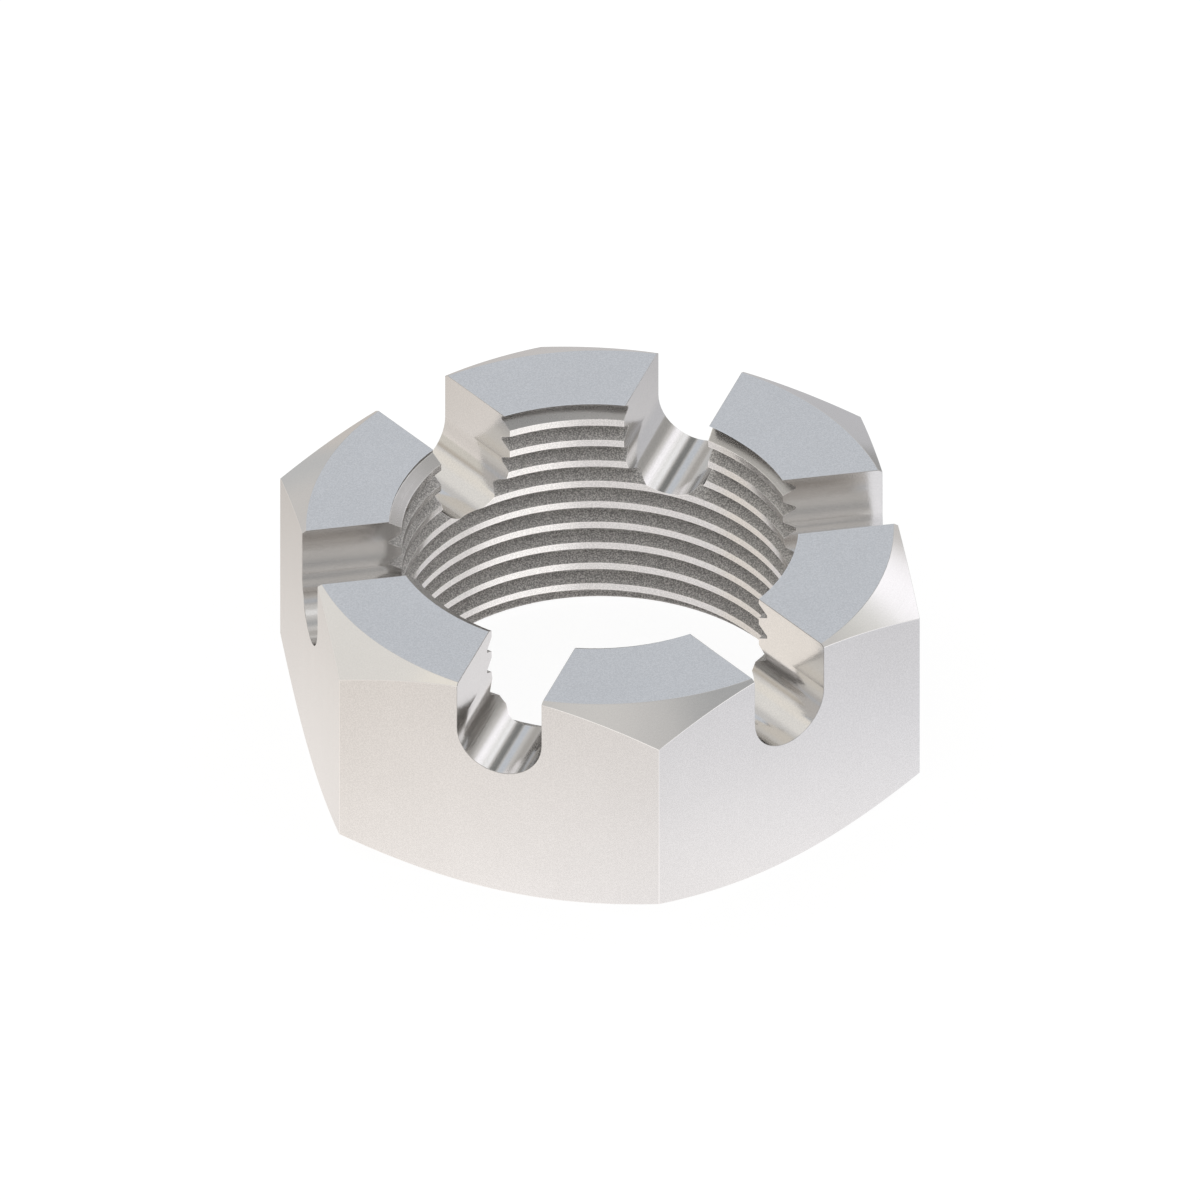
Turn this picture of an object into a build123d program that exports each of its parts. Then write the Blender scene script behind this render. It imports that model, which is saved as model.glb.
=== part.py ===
"""Castle nut, M33 x 2 right-hand, 46 mm across flats.

Millimetres. The origin is the centre of the bearing face, and +Z runs along the thread
axis towards the castellations. Flats face 0, 60, 120 ... degrees, and each one carries a
slot in its middle.
"""

import os
from math import ceil, cos, radians, tan

from build123d import *

# Hexagon
across_flats = 46.0
height = 19.2
end_face_diameter = 45.9  # edge of each end face, where the corner chamfer begins
corner_chamfer_angle = 30.0  # from the end face

# Castellations: each slot crosses the nut from one flat to the opposite one
slot_width = 7.0
slot_floor_height = 11.5  # lowest point of the round floor, above the bearing face
slot_directions = (0, 60, 120)  # degrees round from +X

# Thread
thread_diameter = 33.0
thread_pitch = 2.0
flank_angle = 30.0  # of each flank, from square to the axis
first_crest_depth = 1.45  # below the top face, on the side that first_crest_side names
first_crest_side = 80.0  # degrees round from +X
countersink_angle = 30.0  # from the bearing face, the only one with a countersink
countersink_margin = 0.2  # from the thread's outer diameter to the countersink's edge

# Worked out from the above
across_corners = across_flats / cos(radians(30))
corner_drop = (across_corners - end_face_diameter) / 2 * tan(radians(corner_chamfer_angle))
bore_diameter = thread_diameter - thread_pitch  # the usual tapping size
bore_radius = bore_diameter / 2
thread_depth = (thread_diameter - bore_diameter) / 2
root_flat = thread_pitch / 8
countersink_radius = thread_diameter / 2 + countersink_margin
countersink_depth = (countersink_radius - bore_radius) * tan(radians(countersink_angle))

# One turn of the tap's cut: a flat-rooted vee carried once round a right-hand helix.
# It reaches a little way inside the bore, so that the cut through the wall is clean.
cut_overlap = 0.15 * thread_pitch
cut_mouth = root_flat + 2 * (thread_depth + cut_overlap) * tan(radians(flank_angle))
with BuildPart() as thread_turn:
    with BuildLine():
        Helix(thread_pitch, thread_pitch, bore_radius)
    with BuildSketch(Plane.XZ):
        with BuildLine():
            Polyline(
                (bore_radius - cut_overlap, -cut_mouth / 2),
                (thread_diameter / 2, -root_flat / 2),
                (thread_diameter / 2, root_flat / 2),
                (bore_radius - cut_overlap, cut_mouth / 2),
                close=True,
            )
        make_face()
    sweep(is_frenet=True)

with BuildPart() as castle_nut:
    # Hexagon bar, cut to length
    with BuildSketch():
        RegularPolygon(across_flats / 2, side_count=6, major_radius=False, rotation=30)
    extrude(amount=height)

    # Both ends turned to the corner chamfer
    with BuildSketch(Plane.XZ):
        with BuildLine():
            Polyline(
                (0, 0),
                (end_face_diameter / 2, 0),
                (across_corners / 2, corner_drop),
                (across_corners / 2, height - corner_drop),
                (end_face_diameter / 2, height),
                (0, height),
                close=True,
            )
        make_face()
    revolve(axis=Axis.Z, mode=Mode.INTERSECT)

    # Bore, countersunk at the bearing face
    with BuildSketch(Plane.XZ):
        with BuildLine():
            Polyline(
                (0, 0),
                (countersink_radius, 0),
                (bore_radius, countersink_depth),
                (bore_radius, height),
                (0, height),
                close=True,
            )
        make_face()
    revolve(axis=Axis.Z, mode=Mode.SUBTRACT)

    # Thread, turn by turn from below the bearing face to above the top face.
    # A groove's middle lies half a pitch over a crest's.
    groove_height = height - first_crest_depth + thread_pitch / 2
    lowest_turn = groove_height % thread_pitch - 2 * thread_pitch
    turn_count = ceil(height / thread_pitch) + 3
    with Locations([(0, 0, lowest_turn + turn * thread_pitch) for turn in range(turn_count)]):
        add(thread_turn.part, rotation=(0, 0, first_crest_side), mode=Mode.SUBTRACT)

    # Slots
    for direction in slot_directions:
        with BuildSketch(Plane.YZ.rotated((0, 0, direction))):
            with Locations((0, slot_floor_height + slot_width / 2)):
                Circle(slot_width / 2)
                Rectangle(slot_width, height, align=(Align.CENTER, Align.MIN))
        extrude(amount=across_corners / 2, both=True, mode=Mode.SUBTRACT)

castle_nut.part.label = "castle_nut"

os.makedirs("parts", exist_ok=True)
export_step(castle_nut.part, "parts/castle_nut.step")
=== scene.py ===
from math import atan2, cos, hypot, pi, radians, sin, tan

import bmesh
import bpy
from bpy.props import (
    FloatProperty,
    FloatVectorProperty,
    IntProperty,
    PointerProperty,
)
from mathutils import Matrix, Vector


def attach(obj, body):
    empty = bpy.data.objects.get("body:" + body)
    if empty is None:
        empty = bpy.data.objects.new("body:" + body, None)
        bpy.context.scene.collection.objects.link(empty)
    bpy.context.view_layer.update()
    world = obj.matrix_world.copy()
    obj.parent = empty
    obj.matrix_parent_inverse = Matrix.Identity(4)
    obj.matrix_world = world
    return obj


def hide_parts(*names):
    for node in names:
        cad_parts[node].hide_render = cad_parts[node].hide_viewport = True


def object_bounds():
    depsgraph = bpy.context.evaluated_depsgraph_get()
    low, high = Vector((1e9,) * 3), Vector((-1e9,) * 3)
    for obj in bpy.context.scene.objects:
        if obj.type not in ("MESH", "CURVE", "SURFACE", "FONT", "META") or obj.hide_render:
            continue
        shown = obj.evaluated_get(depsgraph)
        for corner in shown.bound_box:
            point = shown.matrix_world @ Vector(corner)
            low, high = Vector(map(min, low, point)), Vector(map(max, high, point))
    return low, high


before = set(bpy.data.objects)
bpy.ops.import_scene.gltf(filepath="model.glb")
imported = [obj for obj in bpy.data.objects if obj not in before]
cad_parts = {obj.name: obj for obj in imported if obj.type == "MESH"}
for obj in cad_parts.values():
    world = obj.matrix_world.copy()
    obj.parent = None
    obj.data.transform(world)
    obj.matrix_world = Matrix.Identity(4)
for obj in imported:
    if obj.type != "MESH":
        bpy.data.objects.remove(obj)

bl_info = {
    "name": "Castle Nut",
    "version": (1, 0, 0),
    "blender": (4, 5, 0),
    "location": "View3D > Sidebar > Castle Nut",
    "description": "A steel castle nut with machined finishes, on a plain studio floor",
    "category": "Object",
}

cad_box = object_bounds()
cad_high = cad_box[1]

# The nut's own sizes, in metres, as the solid has them
APOTHEM = cad_high.x
HEIGHT = cad_high.z
END_FACE_RADIUS = 0.02295
CHAMFER_ANGLE = radians(30)
CHAMFER_DEPTH = (cad_high.y - END_FACE_RADIUS) * tan(CHAMFER_ANGLE)  # at the hexagon's corners
SLOT_HALF_WIDTH = 0.0035
SLOT_AXIS_HEIGHT = 0.015
BORE_RADIUS = 0.0155
COUNTERSINK_RADIUS = 0.0167
COUNTERSINK_ANGLE = radians(30)
THREAD_PITCH = 0.002
FIRST_CREST_DEPTH = 0.00145  # below the top face, on the side that FIRST_CREST_SIDE names
FIRST_CREST_SIDE = radians(80)
SIDES = 6

# Where each face of the mesh lies, for telling one edge from another. 0 is a broken edge.
(
    FLAT_SIDE,
    TOP,
    BASE,
    TOP_CHAMFER,
    BASE_CHAMFER,
    COUNTERSINK,
    SLOT_WALL,
    CREST,
    THREAD_WALL,
    FIRST_TURN,
) = range(1, 11)
LEVEL_PLACES = (FLAT_SIDE, TOP, BASE, SLOT_WALL)
AT_BASE = {BASE, BASE_CHAMFER, COUNTERSINK}
LEFT_SHARP = {0, CREST, THREAD_WALL, FIRST_TURN}

# How closely a face has to match a surface to count as part of it
NEAR = 3e-5  # metres from its place
FACING = 0.9999  # cosine between its normal and the surface's
CHAMFER_LEAN = 0.5  # least upward or downward part of a chamfer's normal, as its slivers lean unevenly
SLOPE_SLACK = 0.01  # in the normal's upward part, for the countersink
SLOT_SLACK = 0.02  # in the normal's part along the slot, for the slots' walls
BORE_SLACK = 0.05  # in the normal's upward part, for the crests
RIM_REACH = 1e-4  # how far beside a slot a broken edge still counts as its rim, in metres

# Work on the mesh
WELD = 1e-7  # metres
LEVEL_ANGLE = radians(0.05)  # between triangles of one level surface
BLEND_ANGLE = radians(40)  # most that a broken edge's shading leans from its own faces

# The nine finishes, each as its own tool leaves it, some with painted highlight or painted shade
FLAT, FACED, CHAMFER, SLOT, BORE, THREAD_PAINTED_SHADE, LEAD_PAINTED_SHADE, WORN_EDGE_AND_HIGHLIGHT, DULL_RIM_AND_SHADE = range(9)
SURFACE_NAMES = ("flats", "faces", "chamfers", "slots", "bore", "thread", "lead_painted_shade", "edges", "rims_dull_and_painted_dark")
FINISH_OF = {
    FLAT_SIDE: FLAT,
    TOP: FACED,
    BASE: FACED,
    TOP_CHAMFER: CHAMFER,
    BASE_CHAMFER: CHAMFER,
    COUNTERSINK: CHAMFER,
    SLOT_WALL: SLOT,
    CREST: BORE,
    THREAD_WALL: THREAD_PAINTED_SHADE,
    FIRST_TURN: LEAD_PAINTED_SHADE,
}

# Per finish: shade of the steel, roughness, depth of grain and of tool marks in metres, the marks'
# kind, spacing and length, how far they change the roughness, the size of the patches that its
# tone drifts in, and the strength of its dark specks, which on the thread are also painted shade
FINISHES = {
    FLAT: dict(shade=1.0, rough=0.2, grain=1.2e-6, groove=0.4e-6, marks="drawn", spacing=0.00014,
        length=0.02, streak=0.02, patch=0.009, specks_and_shade=0.17),
    FACED: dict(shade=1.02, rough=0.13, grain=0.8e-6, groove=0.4e-6, marks="turned", spacing=0.00012,
        length=0.03, streak=0.015, patch=0.007, specks_and_shade=0.2),
    CHAMFER: dict(shade=0.99, rough=0.13, grain=0.5e-6, groove=0.4e-6, marks="turned", spacing=0.00012,
        length=0.03, streak=0.02, patch=0.007, specks_and_shade=0.07),
    SLOT: dict(shade=0.98, rough=0.13, grain=1.8e-6, groove=0.8e-6, marks="milled", spacing=0.0002,
        length=0.02, streak=0.02, patch=0.005, specks_and_shade=0.12),
    BORE: dict(shade=0.87, rough=0.14, grain=1.6e-6, groove=0.5e-6, marks="tapped", spacing=0.00015,
        length=0.01, streak=0.02, patch=0.004, specks_and_shade=0.25),
    # strong dark specks on the thread's walls: grain, and painted shade in the grooves
    THREAD_PAINTED_SHADE: dict(shade=0.97, rough=0.68, grain=5.0e-6, groove=1.0e-6, marks="tapped", spacing=0.00015,
        length=0.01, streak=0.04, patch=0.004, specks_and_shade=1.0),
    # the thread's first turn below the top face: smoother, and painted darker as shade
    LEAD_PAINTED_SHADE: dict(shade=0.63, rough=0.3, grain=0.5e-6, groove=0.8e-6, marks="tapped", spacing=0.00015,
        length=0.01, streak=0.03, patch=0.004, specks_and_shade=0.1),
    # brighter than the steel: wear, and a painted highlight along the outer broken edges
    WORN_EDGE_AND_HIGHLIGHT: dict(shade=1.15, rough=0.16, grain=0.4e-6, groove=0.2e-6, marks="turned", spacing=0.0002,
        length=0.02, streak=0.01, patch=0.004, specks_and_shade=0.05),
    # dull deburred rims round the slots, painted darker as a thin shade line
    DULL_RIM_AND_SHADE: dict(shade=0.7, rough=0.2, grain=0.6e-6, groove=0.2e-6, marks="turned", spacing=0.0002,
        length=0.02, streak=0.01, patch=0.004, specks_and_shade=0.2),
}

# What all finishes share. Each span is the part of a noise that fades from nothing to full.
COARSE_GRAIN_SCALE = 0.23  # how finely the coarse grain is drawn, against the fine grain
FINE_GRAIN_SHARE = 0.6  # of the grain's tone, and the coarse grain has the rest
GRAIN_SPAN = (0.3, 0.7)
PATCH_SPAN = (0.3, 0.7)
LINE_SPAN = (0.35, 0.65)
SPECK_SPAN = (0.6, 0.42)
SPECK_SHADE = 0.45
GRAIN_ROUGHNESS = 0.15  # how far the grain changes the roughness either way
RUBBED_SMOOTHING = 0.4  # how much of the roughness full wear takes away
LOWEST_ROUGHNESS = 0.04
WEAR_SPAN = (0.999, 0.93)  # cosine between a face and its rounded edge
BREAKUP_SPAN = (0.35, 0.65)
BREAKUP_SCALE = 900.0
LEAST_WEAR = 0.25  # share of the wear that is left where it is broken up most
RING_RADIUS = 0.02  # where the rings have the length that their finish gives
HELIX_RADIUS = 0.016  # the same for the thread's lines
SIDE_SHIFT = 0.05  # from one side's marks to the next, so that no two sides are alike
TURNS_BELOW = 10  # keeps the height above the helix positive

# The studio: each panel or dark flag is where it hangs (degrees round from the camera's right,
# then up), how wide it reaches in degrees (full strength, then gone) and its colour. The last
# three hang below the floor and shine through the bore.
PANELS = (
    ((152, 44), (15, 32), (0.865, 0.850, 0.819)),
    ((173, 41), (5, 15), (0.897, 0.861, 0.799)),
    ((171, 66), (4, 9.5), (0.978, 0.939, 0.862)),
    ((182, 18), (3, 10), (0.547, 0.500, 0.437)),
    ((183, 2), (9, 19), (0.727, 0.699, 0.641)),
    ((27, 70), (8.5, 17), (0.433, 0.442, 0.450)),
    ((-58, 66), (4, 10), (0.900, 0.900, 0.900)),
    ((-99, 81), (2.5, 10), (0.716, 0.706, 0.690)),
    ((-106, 25), (12, 24), (1.350, 1.340, 1.320)),
    ((-18, 14), (12, 26), (1.350, 1.340, 1.360)),
    ((31, 9), (5.5, 14), (0.393, 0.387, 0.374)),
    ((68, 4), (4, 12), (0.408, 0.409, 0.411)),
    ((103.5, 21), (1.5, 10.5), (0.459, 0.445, 0.425)),
    ((104, 5), (3, 12.5), (0.603, 0.619, 0.628)),
    ((47, 33), (1, 15.5), (1.24, 1.23, 1.28)),
    ((56, 39), (4, 6.5), (1.061, 1.068, 1.091)),
    ((43, 44), (2, 11.5), (0.775, 0.780, 0.748)),
    ((75, 42), (3.5, 8), (0.215, 0.219, 0.215)),
    ((92, 37.5), (3.5, 7.5), (0.628, 0.668, 0.728)),
    ((-44, -37), (4, 31), (1.390, 1.365, 1.350)),
    ((50, -37), (8, 20), (0.955, 0.940, 0.955)),
    ((172, -37), (8, 24), (1.000, 0.945, 0.885)),
)
HORIZON_COLOUR = (0.698, 0.680, 0.663, 1.0)
OVERHEAD_COLOUR = (0.647, 0.640, 0.631, 1.0)
UNDERNEATH_COLOUR = (1.01, 0.985, 0.98, 1.0)
OVERHEAD_FROM = 0.9  # upward part of the direction in which each colour is reached
UNDERNEATH_FROM = -0.05
WHITE = (1.0, 1.0, 1.0, 1.0)

# The floor as the steel shows it, a painted reflection: warm on the left and cool on the right,
# fully so at this many metres from the middle
WARM_FLOOR_REFLECTION = (1.035, 0.98, 0.93, 1.0)
COOL_FLOOR_REFLECTION = (0.98, 0.985, 1.03, 1.0)
FLOOR_TINT_REACH = 0.035
# Its glow is the product of these, painted light and shade for the reflections only: brighter
# near the nut, darker behind it and to the right. Each has what it runs along, its start and end
# in metres, and its value at each.
PAINTED_FLOOR_GLOW = (
    ("away", (0.023, 0.047), (1.08, 0.88)),
    ("away", (0.06, 0.14), (1.0, 1.02)),
    ("behind", (-0.01, 0.04), (1.0, 0.78)),
    ("across", (0.012, 0.04), (1.0, 0.925)),
)

# The floor as it is seen: white beyond the nut's shadow, which fades out between these radii
SHADOW_FADE = (0.036, 0.05)
FLOOR_WHITE_STRENGTH = 1.07
OPENING_EDGE = 1.01  # of the bore's radius, where the light from underneath ends


def side_direction(side):
    """Unit vector square to one flat, and along its slot."""
    angle = 2 * pi * side / SIDES
    return Vector((cos(angle), sin(angle), 0))


def place_of(face):
    """Which surface of the nut a face lies on, and the number of its side where it has one."""
    normal, centre = face.normal, face.calc_center_median()
    if normal.z > FACING and centre.z > HEIGHT - NEAR:
        return TOP, 0
    if normal.z < -FACING and centre.z < NEAR:
        return BASE, 0
    for side in range(SIDES):
        out = side_direction(side)
        if normal.dot(out) > FACING and centre.dot(out) > APOTHEM - NEAR:
            return FLAT_SIDE, side

    radius = hypot(centre.x, centre.y)
    from_end = min(centre.z, HEIGHT - centre.z)
    leaning = abs(normal.z) > CHAMFER_LEAN
    if leaning and radius > END_FACE_RADIUS - NEAR and from_end < CHAMFER_DEPTH:
        return (TOP_CHAMFER if normal.z > 0 else BASE_CHAMFER), 0
    sloped = abs(abs(normal.z) - cos(COUNTERSINK_ANGLE)) < SLOPE_SLACK
    inward = (COUNTERSINK_RADIUS - radius) * sin(COUNTERSINK_ANGLE)
    from_cone = inward - centre.z * cos(COUNTERSINK_ANGLE)
    if sloped and normal.z < 0 and abs(from_cone) < NEAR:
        return COUNTERSINK, 0

    if centre.z > SLOT_AXIS_HEIGHT - SLOT_HALF_WIDTH - NEAR:
        for side in range(SIDES):
            out = side_direction(side)
            if centre.dot(out) < 0 or abs(normal.dot(out)) > SLOT_SLACK:
                continue
            across = out.y * centre.x - out.x * centre.y
            drop = min(0.0, centre.z - SLOT_AXIS_HEIGHT)
            if abs(hypot(across, drop) - SLOT_HALF_WIDTH) < 2 * NEAR:
                return SLOT_WALL, side

    if abs(normal.z) < BORE_SLACK and abs(radius - BORE_RADIUS) < NEAR:
        return CREST, 0
    turns = (atan2(centre.y, centre.x) - FIRST_CREST_SIDE) / (2 * pi)
    first_crest_drop = (FIRST_CREST_DEPTH - turns * THREAD_PITCH) % THREAD_PITCH
    return (FIRST_TURN if centre.z > HEIGHT - first_crest_drop else THREAD_WALL), 0


def break_finish(face):
    """The finish of a broken edge: rubbed bright on the outside, with a painted highlight, and dull
    round the slots, painted darker as a thin shade line.

    The break between the top face and a chamfer is turned, as the chamfers are.
    """
    centre = face.calc_center_median()
    reach = SLOT_HALF_WIDTH + RIM_REACH
    if face.normal.z > cos(CHAMFER_ANGLE):
        across = min(abs(side_direction(side).cross(centre).z) for side in range(SIDES))
        return CHAMFER if across > reach else DULL_RIM_AND_SHADE
    if centre.z < SLOT_AXIS_HEIGHT - reach:
        return WORN_EDGE_AND_HIGHLIGHT
    for side in range(SIDES):
        out = side_direction(side)
        if centre.dot(out) > 0 and abs(out.cross(centre).z) < reach:
            return DULL_RIM_AND_SHADE
    return WORN_EDGE_AND_HIGHLIGHT


def level_edges(bm, place):
    """Edges inside one level surface, left there by the triangles of the solid's mesh."""
    level = []
    for edge in bm.edges:
        if len(edge.link_faces) != 2:
            continue
        one, two = edge.link_faces
        same = one[place] == two[place] and one[place] in LEVEL_PLACES
        if same and one.normal.angle(two.normal, pi) < LEVEL_ANGLE:
            level.append(edge)
    return level


def edges_to_break(bm, place, flat, at_base):
    """The edges that the deburring breaks, either those at the base or all the others.

    The thread's own edges and the blunt one round the base face are left as they are.
    """
    chosen = []
    for edge in bm.edges:
        if len(edge.link_faces) != 2:
            continue
        one, two = edge.link_faces
        places = {one[place], two[place]}
        if places & LEFT_SHARP or places == {BASE, BASE_CHAMFER}:
            continue
        hexagon_corner = places == {FLAT_SIDE} and one[flat] != two[flat]
        if (hexagon_corner or len(places) == 2) and bool(places & AT_BASE) == at_base:
            chosen.append(edge)
    return chosen


def corner_normals(bm, place, flat, solid_normal):
    """Shading normals of all corners: the solid's own on its surfaces.

    A broken edge takes the nearest of those that it meets, so that it runs into the surface.
    Where none is near, it takes the average of its own faces.
    """
    met_at = {}
    for face in bm.faces:
        if face[place]:
            for loop in face.loops:
                surface = face[place], face[flat]
                met_at.setdefault(loop.vert, {})[surface] = loop[solid_normal].copy()

    normals = []
    for face in bm.faces:
        own = face.normal
        for loop in face.loops:
            if face[place]:
                normals.append(loop[solid_normal].normalized())
                continue
            met = met_at.get(loop.vert, {}).values()
            near = [normal for normal in met if normal.angle(own, pi) < BLEND_ANGLE]
            if near:
                nearest = min(near, key=lambda normal: normal.angle(own, pi))
                normals.append(nearest.normalized())
                continue
            breaks = [other.normal for other in loop.vert.link_faces if not other[place]]
            beside = [normal for normal in breaks if normal.angle(own, pi) < BLEND_ANGLE]
            normals.append(sum(beside, own).normalized())
    return normals


def dressed_mesh(cad_mesh, wide_break, narrow_break, steps):
    """A copy of the solid's mesh with its outer edges broken and its finishes told apart."""
    mesh = cad_mesh.copy()
    mesh.name = "castle_nut_body"
    mesh.materials.clear()
    solid_normals = mesh.attributes.new("cad_normal", "FLOAT_VECTOR", "CORNER")
    parts = [part for corner in mesh.corner_normals for part in corner.vector]
    solid_normals.data.foreach_set("vector", parts)

    bm = bmesh.new()
    bm.from_mesh(mesh)
    bmesh.ops.remove_doubles(bm, verts=bm.verts, dist=WELD)
    place = bm.faces.layers.int.new("place")
    flat = bm.faces.layers.int.new("flat")
    bm.normal_update()
    for face in bm.faces:
        face[place], face[flat] = place_of(face)
    level = level_edges(bm, place)
    bmesh.ops.dissolve_limit(bm, angle_limit=LEVEL_ANGLE, verts=[], edges=level)

    for width, at_base in ((wide_break, False), (narrow_break, True)):
        made = bmesh.ops.bevel(
            bm,
            geom=edges_to_break(bm, place, flat, at_base),
            offset=width,
            offset_type="WIDTH",
            segments=steps,
            profile=0.5,
            affect="EDGES",
            clamp_overlap=False,
            miter_outer="SHARP",
            miter_inner="SHARP",
        )
        for face in made["faces"]:
            face[place] = 0
    bmesh.ops.dissolve_degenerate(bm, dist=WELD, edges=bm.edges)
    bm.normal_update()

    for face in bm.faces:
        face.smooth = True
        face.material_index = FINISH_OF[face[place]] if face[place] else break_finish(face)
    solid_normal = bm.loops.layers.float_vector["cad_normal"]
    normals = corner_normals(bm, place, flat, solid_normal)
    bm.to_mesh(mesh)
    bm.free()
    mesh.normals_split_custom_set(normals)
    mesh.attributes.remove(mesh.attributes["cad_normal"])
    return mesh


# Node helpers

NODES_IN_ROW = 12
NODE_WIDTH = 200
NODE_HEIGHT = 240


def place_node(tree, kind, inputs=None, **settings):
    """Adds a node. An input given as a socket is linked, and any other value is set on it."""
    made = tree.nodes.new(kind)
    for name, value in settings.items():
        setattr(made, name, value)
    for socket, value in (inputs or {}).items():
        if isinstance(value, bpy.types.NodeSocket):
            tree.links.new(value, made.inputs[socket])
        else:
            made.inputs[socket].default_value = value
    row, column = divmod(len(tree.nodes), NODES_IN_ROW)
    made.location = (NODE_WIDTH * column, -NODE_HEIGHT * row)
    return made


def bare_tree(owner):
    """The node tree of a material or world, emptied."""
    owner.use_nodes = True
    owner.node_tree.nodes.clear()
    return owner.node_tree


def object_place(tree):
    """Place on the object, so that marks stay where they are as it moves."""
    return place_node(tree, "ShaderNodeTexCoord").outputs["Object"]


def maths(tree, operation, *values):
    return place_node(tree, "ShaderNodeMath", dict(enumerate(values)), operation=operation).outputs[0]


def dot_product(tree, first, second):
    inputs = {0: first, 1: second}
    made = place_node(tree, "ShaderNodeVectorMath", inputs, operation="DOT_PRODUCT")
    return made.outputs["Value"]


def vector_length(tree, vector):
    return place_node(tree, "ShaderNodeVectorMath", {0: vector}, operation="LENGTH").outputs["Value"]


def spread(tree, value, low, high, to_low=0.0, to_high=1.0, interpolation="LINEAR"):
    """Maps a value from one span to another, clamped."""
    inputs = {"Value": value, "From Min": low, "From Max": high, "To Min": to_low, "To Max": to_high}
    return place_node(tree, "ShaderNodeMapRange", inputs, interpolation_type=interpolation).outputs[0]


def noise(tree, place, scale, detail, roughness, distortion=0.0):
    inputs = {
        "Vector": place,
        "Scale": scale,
        "Detail": detail,
        "Roughness": roughness,
        "Distortion": distortion,
    }
    return place_node(tree, "ShaderNodeTexNoise", inputs).outputs[0]


def blend_colour(tree, share, first, second):
    """The first colour at a share of 0, and the second at 1."""
    made = place_node(tree, "ShaderNodeMix", {0: share, 6: first, 7: second}, data_type="RGBA")
    return made.outputs[2]


def blend_shader(tree, share, first, second):
    """The first shader at a share of 0, and the second at 1."""
    return place_node(tree, "ShaderNodeMixShader", {0: share, 1: first, 2: second}).outputs[0]


def link_output(tree, kind, shader):
    """Links a shader to the output of its material or world."""
    tree.links.new(shader, place_node(tree, kind).inputs[0])


def new_group(name, inputs, outputs):
    """A node group with named float inputs (name, default, lowest, highest) and float outputs."""
    group = bpy.data.node_groups.new(name, "ShaderNodeTree")
    for label, default, lowest, highest in inputs:
        socket = group.interface.new_socket(label, in_out="INPUT", socket_type="NodeSocketFloat")
        socket.default_value, socket.min_value, socket.max_value = default, lowest, highest
    for label in outputs:
        group.interface.new_socket(label, in_out="OUTPUT", socket_type="NodeSocketFloat")
    return group, group.nodes.new("NodeGroupInput"), group.nodes.new("NodeGroupOutput")


def use_group(tree, group, **inputs):
    made = place_node(tree, "ShaderNodeGroup", node_tree=group)
    for label, value in inputs.items():
        made.inputs[label.replace("_", " ")].default_value = value
    return made


# Finishes that more than one surface has


def satin_grain_group():
    """Fine grain of the bare steel, as a height, as a tone and as dark specks in its hollows."""
    group, given, wanted = new_group(
        "Satin Grain",
        [("Grain Size", 0.00012, 0.00001, 0.01)],
        ["Height", "Tone", "Speck"],
    )
    place = object_place(group)
    fine_scale = maths(group, "DIVIDE", 1.0, given.outputs["Grain Size"])
    coarse_scale = maths(group, "MULTIPLY", fine_scale, COARSE_GRAIN_SCALE)
    fine = noise(group, place, fine_scale, detail=2.0, roughness=0.6)
    coarse = noise(group, place, coarse_scale, detail=3.0, roughness=0.55)
    coarse_part = maths(group, "MULTIPLY", coarse, 1 - FINE_GRAIN_SHARE)
    tone = maths(group, "MULTIPLY_ADD", fine, FINE_GRAIN_SHARE, coarse_part)
    group.links.new(fine, wanted.inputs["Height"])
    group.links.new(spread(group, tone, *GRAIN_SPAN), wanted.inputs["Tone"])
    group.links.new(spread(group, fine, *SPECK_SPAN), wanted.inputs["Speck"])
    return group


def tone_drift_group():
    """Slow drift of tone over a surface, from handling and storage."""
    group, given, wanted = new_group("Tone Drift", [("Patch Size", 0.008, 0.0001, 0.1)], ["Mask"])
    scale = maths(group, "DIVIDE", 1.0, given.outputs["Patch Size"])
    patches = noise(group, object_place(group), scale, detail=4.0, roughness=0.6, distortion=0.4)
    group.links.new(spread(group, patches, *PATCH_SPAN), wanted.inputs["Mask"])
    return group


def edge_wear_group():
    """Narrow uneven band along the edges, where the steel is rubbed brighter and smoother."""
    group, given, wanted = new_group("Edge Wear", [("Reach", 0.0003, 0.00001, 0.01)], ["Mask"])
    rounded = place_node(group, "ShaderNodeBevel", {"Radius": given.outputs["Reach"]}, samples=6)
    straight = place_node(group, "ShaderNodeNewGeometry").outputs["True Normal"]
    alike = dot_product(group, rounded.outputs[0], straight)
    band = spread(group, alike, *WEAR_SPAN)
    breakup = noise(group, object_place(group), BREAKUP_SCALE, detail=4.0, roughness=0.65)
    uneven = spread(group, breakup, *BREAKUP_SPAN, LEAST_WEAR, 1.0)
    group.links.new(maths(group, "MULTIPLY", band, uneven), wanted.inputs["Mask"])
    return group


def marks_group(name):
    """A group for tool marks. Its lines' spacing goes across a tool's path, and their length along."""
    inputs = [("Line Spacing", 0.0001, 0.00001, 0.01), ("Line Length", 0.01, 0.0001, 1.0)]
    return new_group(name, inputs, ["Height", "Tone"])


def line_marks(group, given, wanted, across, second, along):
    """Noise drawn out along a tool's path: the first two coordinates cross it, the third follows it."""
    fine = maths(group, "DIVIDE", 1.0, given.outputs["Line Spacing"])
    drawn = maths(group, "DIVIDE", 1.0, given.outputs["Line Length"])
    scaled = {
        0: maths(group, "MULTIPLY", across, fine),
        1: maths(group, "MULTIPLY", second, fine),
        2: maths(group, "MULTIPLY", along, drawn),
    }
    vector = place_node(group, "ShaderNodeCombineXYZ", scaled).outputs[0]
    lines = noise(group, vector, 1.0, detail=3.0, roughness=0.6)
    group.links.new(lines, wanted.inputs["Height"])
    group.links.new(spread(group, lines, *LINE_SPAN), wanted.inputs["Tone"])


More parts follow.
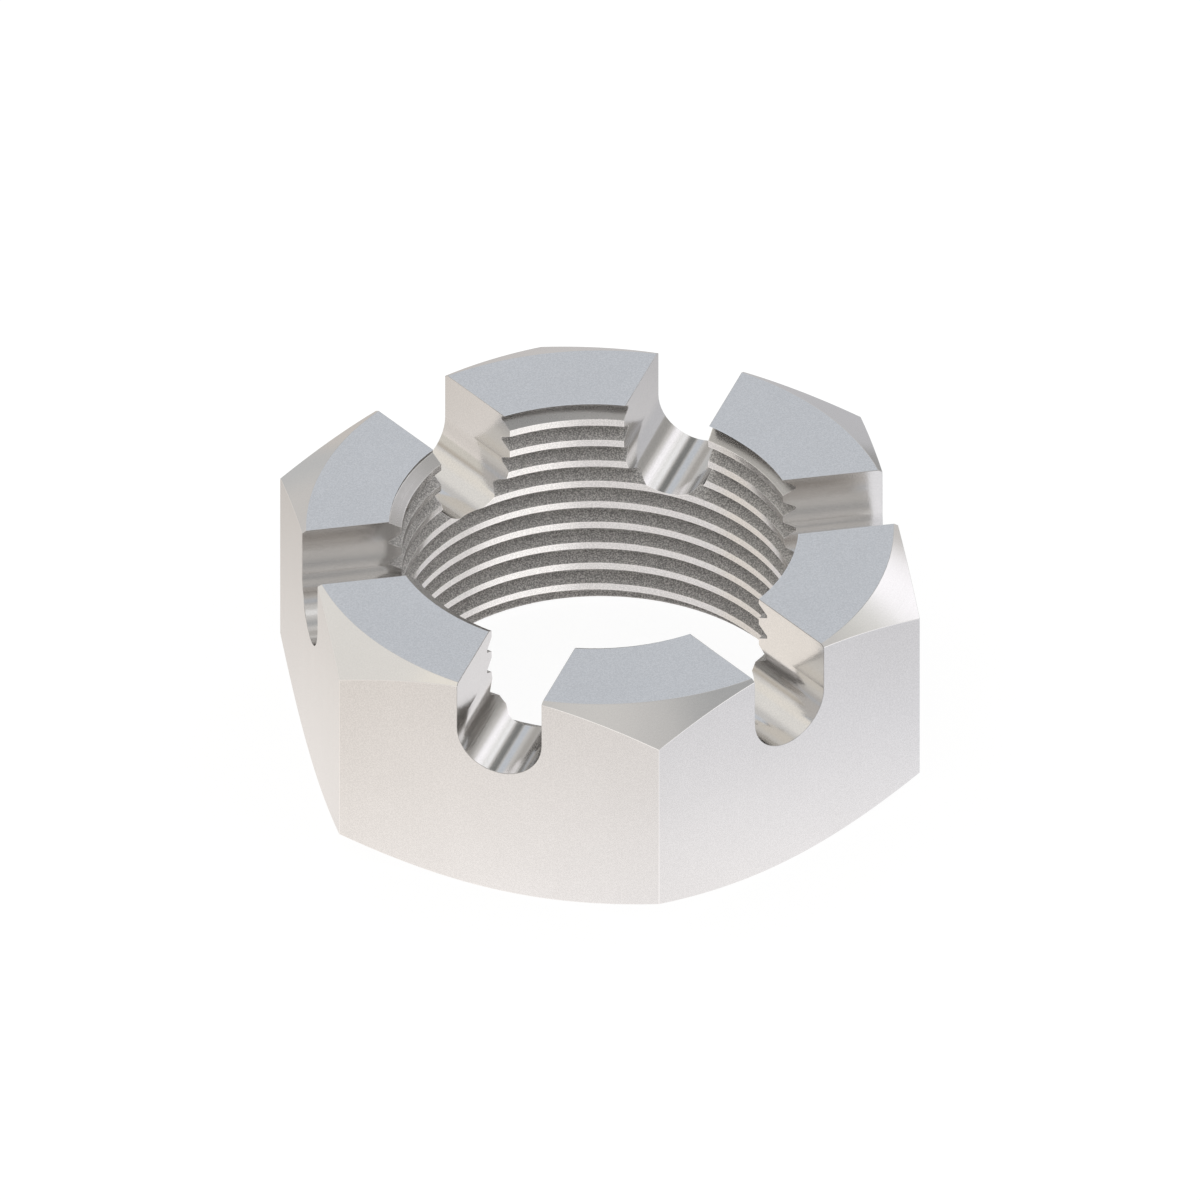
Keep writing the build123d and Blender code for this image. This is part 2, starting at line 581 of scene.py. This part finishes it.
def round_the_axis(group):
    """Distance from the nut's axis, angle round it and height."""
    parts = place_node(group, "ShaderNodeSeparateXYZ", {0: object_place(group)}).outputs
    level = place_node(group, "ShaderNodeCombineXYZ", {0: parts[0], 1: parts[1], 2: 0.0}).outputs[0]
    angle = maths(group, "ARCTAN2", parts[1], parts[0])
    return vector_length(group, level), angle, parts[2]


def turning_marks_group():
    """Rings round the nut's axis, left by the lathe tool on the end faces and chamfers."""
    group, given, wanted = marks_group("Turning Marks")
    radius, angle, height = round_the_axis(group)
    along = maths(group, "MULTIPLY", maths(group, "ABSOLUTE", angle), RING_RADIUS)
    line_marks(group, given, wanted, radius, height, along)
    return group


def side_marks_group(name, along_slot):
    """Straight lines, up the flats as the bar was drawn, or along a slot as its cutter went."""
    group, given, wanted = marks_group(name)
    place = object_place(group)
    parts = place_node(group, "ShaderNodeSeparateXYZ", {0: place}).outputs
    angle = maths(group, "ARCTAN2", parts[1], parts[0])
    side = maths(group, "ROUND", maths(group, "MULTIPLY", angle, SIDES / (2 * pi)))
    turn_back = maths(group, "MULTIPLY", side, -2 * pi / SIDES)
    inputs = {"Vector": place, "Angle": turn_back}
    turned = place_node(group, "ShaderNodeVectorRotate", inputs, rotation_type="Z_AXIS").outputs[0]
    outward, sideways, height = place_node(group, "ShaderNodeSeparateXYZ", {0: turned}).outputs
    sideways = maths(group, "ADD", sideways, maths(group, "MULTIPLY", side, SIDE_SHIFT))
    if along_slot:
        line_marks(group, given, wanted, sideways, height, outward)
    else:
        line_marks(group, given, wanted, sideways, outward, height)
    return group


def thread_marks_group():
    """Lines along the helix, left by the tap's teeth."""
    group, given, wanted = marks_group("Thread Marks")
    radius, angle, height = round_the_axis(group)
    climbed = maths(group, "MULTIPLY", angle, THREAD_PITCH / (2 * pi))
    above_helix = maths(group, "SUBTRACT", height, climbed)
    raised = maths(group, "ADD", above_helix, TURNS_BELOW * THREAD_PITCH)
    phase = maths(group, "MODULO", raised, THREAD_PITCH)
    along = maths(group, "MULTIPLY", maths(group, "ABSOLUTE", angle), HELIX_RADIUS)
    line_marks(group, given, wanted, radius, phase, along)
    return group


def shaded(colour, factor):
    """A colour made brighter or darker, up to white."""
    return (*(min(1.0, part * factor) for part in colour[:3]), 1.0)


def steel_material(settings, groups, surface):
    """Bare steel with the marks, grain and wear of one surface of the nut."""
    material = bpy.data.materials.new("steel_" + SURFACE_NAMES[surface])
    tree = bare_tree(material)
    finish = FINISHES[surface]
    grain = use_group(tree, groups["grain"], Grain_Size=settings.grain_size)
    drift = use_group(tree, groups["drift"], Patch_Size=finish["patch"])
    wear = use_group(tree, groups["wear"], Reach=settings.wear_reach)
    marks = use_group(
        tree, groups[finish["marks"]], Line_Spacing=finish["spacing"], Line_Length=finish["length"]
    )

    light = shaded(settings.steel_colour, finish["shade"])
    dark = shaded(light, 1 - settings.tone_drift)
    worn = shaded(settings.steel_colour, settings.wear_brightness)
    # dark specks: grain, and on the thread also painted shade
    specks_and_shade = maths(tree, "MULTIPLY", grain.outputs["Speck"], finish["specks_and_shade"])
    colour = blend_colour(tree, drift.outputs["Mask"], dark, light)
    colour = blend_colour(tree, specks_and_shade, colour, shaded(light, SPECK_SHADE))
    colour = blend_colour(tree, wear.outputs["Mask"], colour, worn)

    smoothest = finish["rough"] * (1 - GRAIN_ROUGHNESS)
    roughest = finish["rough"] * (1 + GRAIN_ROUGHNESS)
    rough = spread(tree, grain.outputs["Tone"], 0.0, 1.0, smoothest, roughest)
    streak = spread(tree, marks.outputs["Tone"], 0.0, 1.0, -finish["streak"], finish["streak"])
    rough = maths(tree, "ADD", rough, streak)
    rubbed = maths(tree, "MULTIPLY", wear.outputs["Mask"], -RUBBED_SMOOTHING * finish["rough"])
    rough = maths(tree, "MAXIMUM", maths(tree, "ADD", rough, rubbed), LOWEST_ROUGHNESS)

    grain_bump = place_node(
        tree,
        "ShaderNodeBump",
        {"Strength": 1.0, "Distance": finish["grain"], "Height": grain.outputs["Height"]},
    )
    mark_bump = place_node(
        tree,
        "ShaderNodeBump",
        {
            "Strength": 1.0,
            "Distance": finish["groove"],
            "Height": marks.outputs["Height"],
            "Normal": grain_bump.outputs[0],
        },
    )
    steel = place_node(
        tree,
        "ShaderNodeBsdfPrincipled",
        {
            "Base Color": colour,
            "Metallic": 1.0,
            "Roughness": rough,
            "Specular Tint": (*settings.glancing_tint, 1.0),
            "Normal": mark_bump.outputs[0],
        },
    )
    link_output(tree, "ShaderNodeOutputMaterial", steel.outputs[0])
    return material


# The studio


def camera_axes(azimuth):
    """Level directions to the right and away, as the photo's camera stands."""
    right = Vector((cos(azimuth), sin(azimuth), 0))
    return right, Vector((-right.y, right.x, 0))


def seen_share(tree, path):
    """1 for a ray from the camera, straight or through something clear, and 0 for any other."""
    return maths(tree, "MAXIMUM", path.outputs["Is Camera Ray"], path.outputs["Is Transmission Ray"])


def sky_shader(tree, direction, colour, panels, cuts):
    """The background with its panels. Each cut halves the sky, so a ray meets only those near it."""
    if cuts:
        cut, further = cuts[0], cuts[1:]
        above, below = [], []
        for panel in panels:
            towards, _, gone, _ = panel
            if towards.dot(cut) > -sin(gone):
                above.append(panel)
            if towards.dot(cut) < sin(gone):
                below.append(panel)
        upper = sky_shader(tree, direction, colour, above, further)
        lower = sky_shader(tree, direction, colour, below, further)
        in_upper = maths(tree, "GREATER_THAN", dot_product(tree, direction, cut), 0.0)
        return blend_shader(tree, in_upper, lower, upper)
    for towards, full, gone, lit in panels:
        alike = dot_product(tree, direction, towards)
        mask = spread(tree, alike, cos(gone), cos(full), interpolation="SMOOTHSTEP")
        colour = blend_colour(tree, mask, colour, lit)
    return place_node(tree, "ShaderNodeBackground", {"Color": colour, "Strength": 1.0}).outputs[0]


def studio_world(camera_azimuth):
    """Soft panels and flags round the nut, and plain white where the camera looks straight at it."""
    world = bpy.data.worlds.new("studio")
    tree = bare_tree(world)
    direction = place_node(tree, "ShaderNodeTexCoord").outputs["Generated"]
    upward = place_node(tree, "ShaderNodeSeparateXYZ", {0: direction}).outputs[2]
    risen = spread(tree, upward, 0.0, OVERHEAD_FROM)
    sunk = spread(tree, upward, 0.0, UNDERNEATH_FROM)
    colour = blend_colour(tree, risen, HORIZON_COLOUR, OVERHEAD_COLOUR)
    colour = blend_colour(tree, sunk, colour, UNDERNEATH_COLOUR)

    panels = []
    for (round_degrees, up_degrees), (full, gone), lit in PANELS:
        turn, rise = camera_azimuth + radians(round_degrees), radians(up_degrees)
        towards = Vector((cos(turn) * cos(rise), sin(turn) * cos(rise), sin(rise)))
        panels.append((towards, radians(full), radians(gone), (*lit, 1.0)))
    cuts = [Vector((0, 0, 1)), *camera_axes(camera_azimuth)]
    lit_sky = sky_shader(tree, direction, colour, panels, cuts)
    white = place_node(tree, "ShaderNodeBackground", {"Color": WHITE, "Strength": 1.0}).outputs[0]
    seen = seen_share(tree, place_node(tree, "ShaderNodeLightPath"))
    link_output(tree, "ShaderNodeOutputWorld", blend_shader(tree, seen, lit_sky, white))
    return world


def painted_floor_reflection(tree, away, camera_azimuth):
    """The floor as the steel shows it: a painted reflection, tinted, with painted light and shade."""
    place = object_place(tree)
    right, behind = camera_axes(camera_azimuth)
    ruler = {
        "away": away,
        "behind": dot_product(tree, place, behind),
        "across": dot_product(tree, place, right),
    }
    side = spread(tree, ruler["across"], -FLOOR_TINT_REACH, FLOOR_TINT_REACH)
    tint = blend_colour(tree, side, WARM_FLOOR_REFLECTION, COOL_FLOOR_REFLECTION)
    glow = 1.0
    for along, span, factors in PAINTED_FLOOR_GLOW:
        glow = maths(tree, "MULTIPLY", spread(tree, ruler[along], *span, *factors), glow)
    return place_node(tree, "ShaderNodeEmission", {"Color": tint, "Strength": glow}).outputs[0]


def floor_material(settings):
    """Pale floor. Seen directly it is white, apart from the nut's soft shadow."""
    material = bpy.data.materials.new("studio_floor")
    tree = bare_tree(material)
    path = place_node(tree, "ShaderNodeLightPath")
    away = vector_length(tree, object_place(tree))
    floor_paint = (*settings.floor_colour, 1.0)
    paint = place_node(tree, "ShaderNodeBsdfDiffuse", {"Color": floor_paint}).outputs[0]
    plain = {"Color": WHITE, "Strength": FLOOR_WHITE_STRENGTH}
    white = place_node(tree, "ShaderNodeEmission", plain).outputs[0]
    clear = place_node(tree, "ShaderNodeBsdfTransparent").outputs[0]

    whiteness = spread(tree, away, *SHADOW_FADE, settings.floor_whiteness, 1.0)
    share = maths(tree, "MULTIPLY", seen_share(tree, path), whiteness)
    face = blend_shader(tree, share, paint, white)
    # In the steel's reflections the floor shows its painted glow and tint instead
    glossy = path.outputs["Is Glossy Ray"]
    face = blend_shader(tree, glossy, face, painted_floor_reflection(tree, away, settings.camera_azimuth))

    # Inside the bore the floor lets the studio's light up from underneath, which the crests show
    opening = spread(tree, away, BORE_RADIUS, OPENING_EDGE * BORE_RADIUS, 1.0, 0.0)
    lit_by = maths(tree, "MAXIMUM", glossy, path.outputs["Is Shadow Ray"])
    face = blend_shader(tree, maths(tree, "MULTIPLY", opening, lit_by), face, clear)

    # From below, the floor isn't there
    under = place_node(tree, "ShaderNodeNewGeometry").outputs["Backfacing"]
    link_output(tree, "ShaderNodeOutputMaterial", blend_shader(tree, under, face, clear))
    return material


class CastleNutSteel(bpy.types.PropertyGroup):
    """The nut's edges and steel."""

    edge_break: FloatProperty(
        name="Edge Break",
        description="Width of the broken edges",
        default=0.00007,
        min=0.0,
        unit="LENGTH",
    )
    base_edge_break: FloatProperty(
        name="Base Edge Break",
        description="Width of the broken edges at the base, where the chamfer is narrow",
        default=0.00003,
        min=0.0,
        unit="LENGTH",
    )
    edge_steps: IntProperty(
        name="Edge Steps",
        description="Faces across a broken edge",
        default=2,
        min=1,
        max=6,
    )
    steel_colour: FloatVectorProperty(
        name="Steel",
        description="Colour of the bare steel",
        default=(0.83, 0.815, 0.80),
        subtype="COLOR",
        min=0,
        max=1,
    )
    glancing_tint: FloatVectorProperty(
        name="Glancing Tint",
        description="How much of its shine the steel keeps at a glancing angle",
        default=(0.86, 0.86, 0.86),
        subtype="COLOR",
        min=0,
        max=1,
    )
    tone_drift: FloatProperty(
        name="Tone Drift",
        description="How much darker the darkest patches are",
        default=0.03,
        subtype="FACTOR",
    )
    grain_size: FloatProperty(
        name="Grain Size",
        description="Size of the steel's fine grain",
        default=0.00011,
        unit="LENGTH",
    )
    wear_reach: FloatProperty(
        name="Wear Reach",
        description="How far the rubbed band reaches in from an edge",
        default=0.00015,
        unit="LENGTH",
    )
    wear_brightness: FloatProperty(
        name="Wear Brightness",
        description="How much brighter the rubbed steel is",
        default=1.05,
        min=1.0,
    )


class CastleNutStage(bpy.types.PropertyGroup):
    """The floor and the camera."""

    floor_colour: FloatVectorProperty(
        name="Floor",
        description="Colour of the floor",
        default=(0.9, 0.9, 0.9),
        subtype="COLOR",
        min=0,
        max=1,
    )
    floor_whiteness: FloatProperty(
        name="Floor Whiteness",
        description="Share of plain white in the floor near the nut, as it is seen",
        default=0.86,
        subtype="FACTOR",
    )
    floor_size: FloatProperty(
        name="Floor Size",
        description="Side of the floor",
        default=4.0,
        unit="LENGTH",
    )
    floor_gap: FloatProperty(
        name="Floor Gap",
        description="How far the floor lies below the nut",
        default=0.00005,
        unit="LENGTH",
    )
    camera_elevation: FloatProperty(
        name="Elevation",
        description="Camera's height above the horizon",
        default=radians(37.0),
        subtype="ANGLE",
    )
    camera_azimuth: FloatProperty(
        name="Azimuth",
        description="Camera's turn round the nut",
        default=radians(-10.0),
        subtype="ANGLE",
    )
    camera_distance: FloatProperty(
        name="Distance",
        description="From the camera to the nut",
        default=0.4,
        unit="LENGTH",
    )
    view_width: FloatProperty(
        name="View Width",
        description="Width of the view at the nut",
        default=0.09362,
        unit="LENGTH",
    )
    view_height: FloatProperty(
        name="View Centre Height",
        description="Height on the nut's axis of the view's centre",
        default=0.01209,
        unit="LENGTH",
    )


class CASTLE_NUT_OT_add_nut(bpy.types.Operator):
    """Make the nut, with broken edges and a finish on each of its surfaces"""

    bl_idname = "castle_nut.add_nut"
    bl_label = "Add Castle Nut"

    def execute(self, context):
        settings = context.scene.castle_nut_steel
        cad_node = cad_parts["castle_nut"]
        mesh = dressed_mesh(
            cad_node.data, settings.edge_break, settings.base_edge_break, settings.edge_steps
        )
        groups = {
            "grain": satin_grain_group(),
            "drift": tone_drift_group(),
            "wear": edge_wear_group(),
            "turned": turning_marks_group(),
            "drawn": side_marks_group("Drawn Marks", along_slot=False),
            "milled": side_marks_group("Milled Marks", along_slot=True),
            "tapped": thread_marks_group(),
        }
        for surface in range(len(SURFACE_NAMES)):
            mesh.materials.append(steel_material(settings, groups, surface))
        nut = bpy.data.objects.new("castle_nut_body", mesh)
        context.scene.collection.objects.link(nut)
        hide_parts("castle_nut")
        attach(nut, "root")
        return {"FINISHED"}


class CASTLE_NUT_OT_set_stage(bpy.types.Operator):
    """Lay the floor, light it softly and place the camera"""

    bl_idname = "castle_nut.set_stage"
    bl_label = "Set Stage"

    def execute(self, context):
        scene = context.scene
        settings = scene.castle_nut_stage
        half = settings.floor_size / 2
        floor_mesh = bpy.data.meshes.new("studio_floor")
        corners = [(-half, -half, 0), (half, -half, 0), (half, half, 0), (-half, half, 0)]
        floor_mesh.from_pydata(corners, [], [(0, 1, 2, 3)])
        floor = bpy.data.objects.new("studio_floor", floor_mesh)
        floor.location.z = -settings.floor_gap
        scene.collection.objects.link(floor)
        floor_mesh.materials.append(floor_material(settings))

        scene.world = studio_world(settings.camera_azimuth)

        away_from_camera = camera_axes(settings.camera_azimuth)[1]
        level, rise = cos(settings.camera_elevation), sin(settings.camera_elevation)
        to_camera = Vector((0, 0, rise)) - level * away_from_camera
        camera_data = bpy.data.cameras.new("camera")
        camera_data.type = "ORTHO"
        camera_data.ortho_scale = settings.view_width
        camera = bpy.data.objects.new("camera", camera_data)
        centre = Vector((0, 0, settings.view_height))
        camera.location = centre + settings.camera_distance * to_camera
        camera.rotation_mode = "QUATERNION"
        camera.rotation_quaternion = (-to_camera).to_track_quat("-Z", "Y")
        scene.collection.objects.link(camera)
        scene.camera = camera
        scene.view_settings.view_transform = "Standard"
        return {"FINISHED"}


class VIEW3D_PT_castle_nut(bpy.types.Panel):
    """Lists the nut's settings and its two steps"""

    bl_label = "Castle Nut"
    bl_space_type = "VIEW_3D"
    bl_region_type = "UI"
    bl_category = "Castle Nut"

    def draw(self, context):
        layout = self.layout
        for title, settings, operator in (
            ("Nut", context.scene.castle_nut_steel, CASTLE_NUT_OT_add_nut),
            ("Stage", context.scene.castle_nut_stage, CASTLE_NUT_OT_set_stage),
        ):
            box = layout.box()
            box.label(text=title)
            for name in settings.__annotations__:
                box.prop(settings, name)
            box.operator(operator.bl_idname)


CLASSES = (
    CastleNutSteel,
    CastleNutStage,
    CASTLE_NUT_OT_add_nut,
    CASTLE_NUT_OT_set_stage,
    VIEW3D_PT_castle_nut,
)


def register():
    for cls in CLASSES:
        bpy.utils.register_class(cls)
    bpy.types.Scene.castle_nut_steel = PointerProperty(type=CastleNutSteel)
    bpy.types.Scene.castle_nut_stage = PointerProperty(type=CastleNutStage)


def unregister():
    del bpy.types.Scene.castle_nut_stage
    del bpy.types.Scene.castle_nut_steel
    for cls in reversed(CLASSES):
        bpy.utils.unregister_class(cls)


def main():
    register()
    bpy.ops.castle_nut.add_nut()
    bpy.ops.castle_nut.set_stage()


if __name__ == "__main__":
    main()
